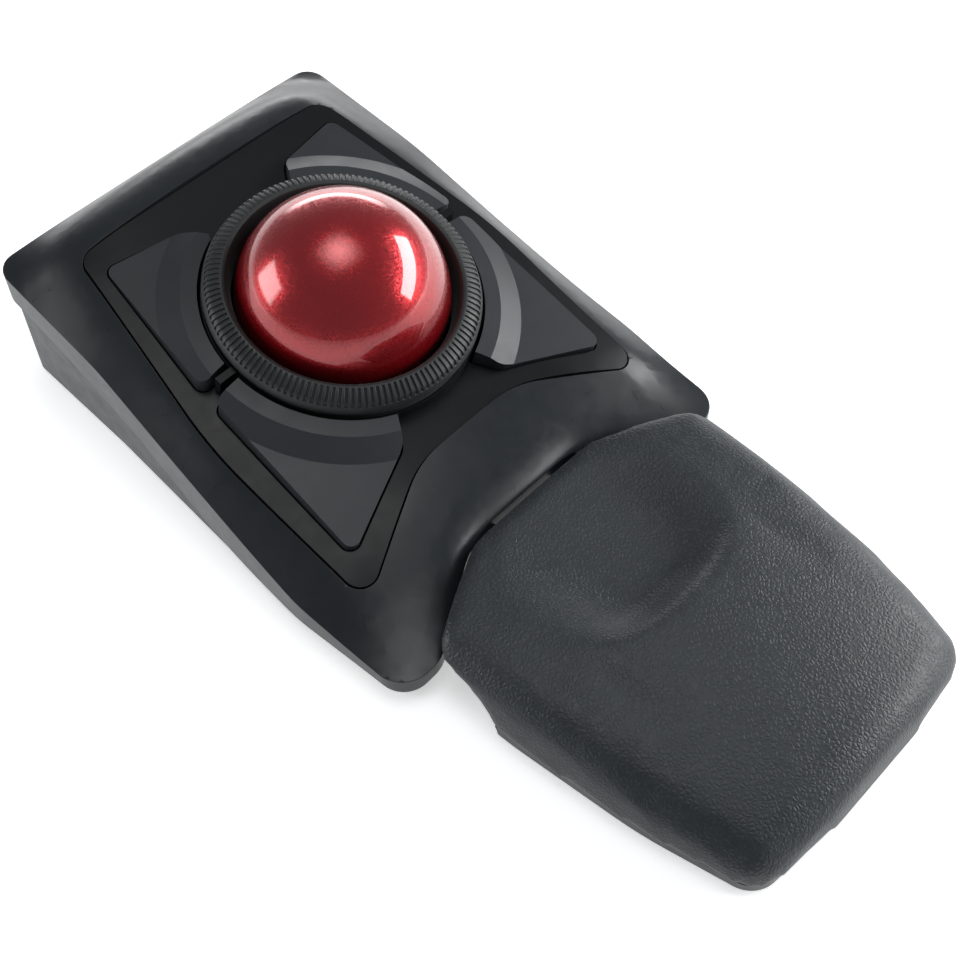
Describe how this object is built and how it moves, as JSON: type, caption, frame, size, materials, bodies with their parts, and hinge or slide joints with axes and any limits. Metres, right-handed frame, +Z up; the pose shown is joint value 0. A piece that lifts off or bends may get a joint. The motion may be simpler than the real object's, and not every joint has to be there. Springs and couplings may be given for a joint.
{
  "type": "trackball with wrist rest",
  "caption": "Desktop trackball: sloped case with a large ball in a knurled scroll ring, sculpted corner buttons and a detachable padded wrist rest.",
  "frame": {"origin": "on the table, under the middle of the bounding box of the case and its wrist rest", "axes": "+X to the user's right, +Y away from the user towards the case's far edge, +Z up"},
  "size_m": [0.1216, 0.2428, 0.065],
  "materials": {
    "ball_red": "candy red with fine metallic flake under clear coat, polished",
    "cup_plastic": "moulded acetal",
    "bearing_ceramic": "polished",
    "ring_rubber": "ribbed matt elastomer",
    "sensor_black": "moulded epoxy",
    "lens_clear": "clear moulded lens",
    "circuit_board": "solder mask",
    "button_plastic": "satin moulded ABS",
    "deck_gloss": "piano black ABS",
    "case_plastic": "dark grey semi-gloss ABS",
    "base_plastic": "dark grey fine-textured ABS",
    "cell_wrap": "printed wrap without text",
    "contact_nickel": "nickel plated",
    "screw_steel": "zinc plated",
    "foot_rubber": "matt",
    "slider_grey": "moulded",
    "rest_leather": "pebbled leatherette over foam"
  },
  "bodies": {
    "case": {"upper_case": "case_plastic", "base_shell": "base_plastic", "button_deck": "deck_gloss", "ball_cup": "cup_plastic", "support_bearings": "bearing_ceramic", "encoder_sensor": "sensor_black", "sensor_lens": "lens_clear", "optical_sensor": "sensor_black", "sensor_board": "circuit_board", "button_switches": "sensor_black", "switch_boards": "circuit_board", "battery_cells": "cell_wrap", "battery_contacts": "contact_nickel", "usb_receiver": "sensor_black", "case_screws": "screw_steel", "case_feet": "foot_rubber", "main_board": "circuit_board", "radio_module": "contact_nickel", "board_chips": "sensor_black"},
    "ball": {"trackball": "ball_red"},
    "ring": {"scroll_ring": "ring_rubber", "encoder_ring": "cup_plastic"},
    "right_rear_key": {"right_rear_button": "button_plastic"},
    "left_rear_key": {"left_rear_button": "button_plastic"},
    "right_front_key": {"right_front_button": "button_plastic"},
    "left_front_key": {"left_front_button": "button_plastic"},
    "wrist_rest": {"wrist_rest_pad": "rest_leather", "wrist_rest_base": "base_plastic", "wrist_rest_feet": "foot_rubber"},
    "door": {"battery_door": "base_plastic"},
    "power_slider": {"power_switch": "slider_grey"},
    "connect_key": {"connect_button": "slider_grey"}
  },
  "joints": [
    {"name": "ball_roll", "type": "hinge", "parent": "case", "child": "ball", "pos_m": [0, 0.04975, 0.0375], "axis": [1, 0, 0], "continuous": true},
    {"name": "ring_spin", "type": "hinge", "parent": "case", "child": "ring", "pos_m": [0, 0.04975, 0.0375], "axis": [0, -0.2317, 0.9728], "continuous": true},
    {"name": "right_rear_press", "type": "hinge", "parent": "case", "child": "right_rear_key", "pos_m": [0.04366, 0.07671, 0.03035], "axis": [0.1177, -0.966, -0.2301], "range_deg": [0, 2.5], "stiffness_Nm_per_rad": 0.12, "springref_deg": -3.44},
    {"name": "left_rear_press", "type": "hinge", "parent": "case", "child": "left_rear_key", "pos_m": [-0.04366, 0.07671, 0.03035], "axis": [0.1177, 0.966, 0.2301], "range_deg": [0, 2.5], "stiffness_Nm_per_rad": 0.12, "springref_deg": -3.44},
    {"name": "right_front_press", "type": "hinge", "parent": "case", "child": "right_front_key", "pos_m": [0.04703, 0.02661, 0.01842], "axis": [0.0258, -0.9725, -0.2317], "range_deg": [0, 2.5], "stiffness_Nm_per_rad": 0.12, "springref_deg": -3.44},
    {"name": "left_front_press", "type": "hinge", "parent": "case", "child": "left_front_key", "pos_m": [-0.04703, 0.02661, 0.01842], "axis": [0.0258, 0.9725, 0.2317], "range_deg": [0, 2.5], "stiffness_Nm_per_rad": 0.12, "springref_deg": -3.44},
    {"name": "wrist_rest_pull", "type": "slide", "parent": "case", "child": "wrist_rest", "axis": [0, -1, 0], "range_m": [0, 0.03]},
    {"name": "door_slide", "type": "slide", "parent": "case", "child": "door", "axis": [0, 1, 0], "range_m": [0, 0.012]},
    {"name": "power_slide", "type": "slide", "parent": "case", "child": "power_slider", "axis": [1, 0, 0], "range_m": [0, 0.003]},
    {"name": "connect_press", "type": "slide", "parent": "case", "child": "connect_key", "axis": [0, 0, 1], "range_m": [0, 0.0008], "stiffness_N_per_m": 400, "springref_m": -0.001}
  ]
}
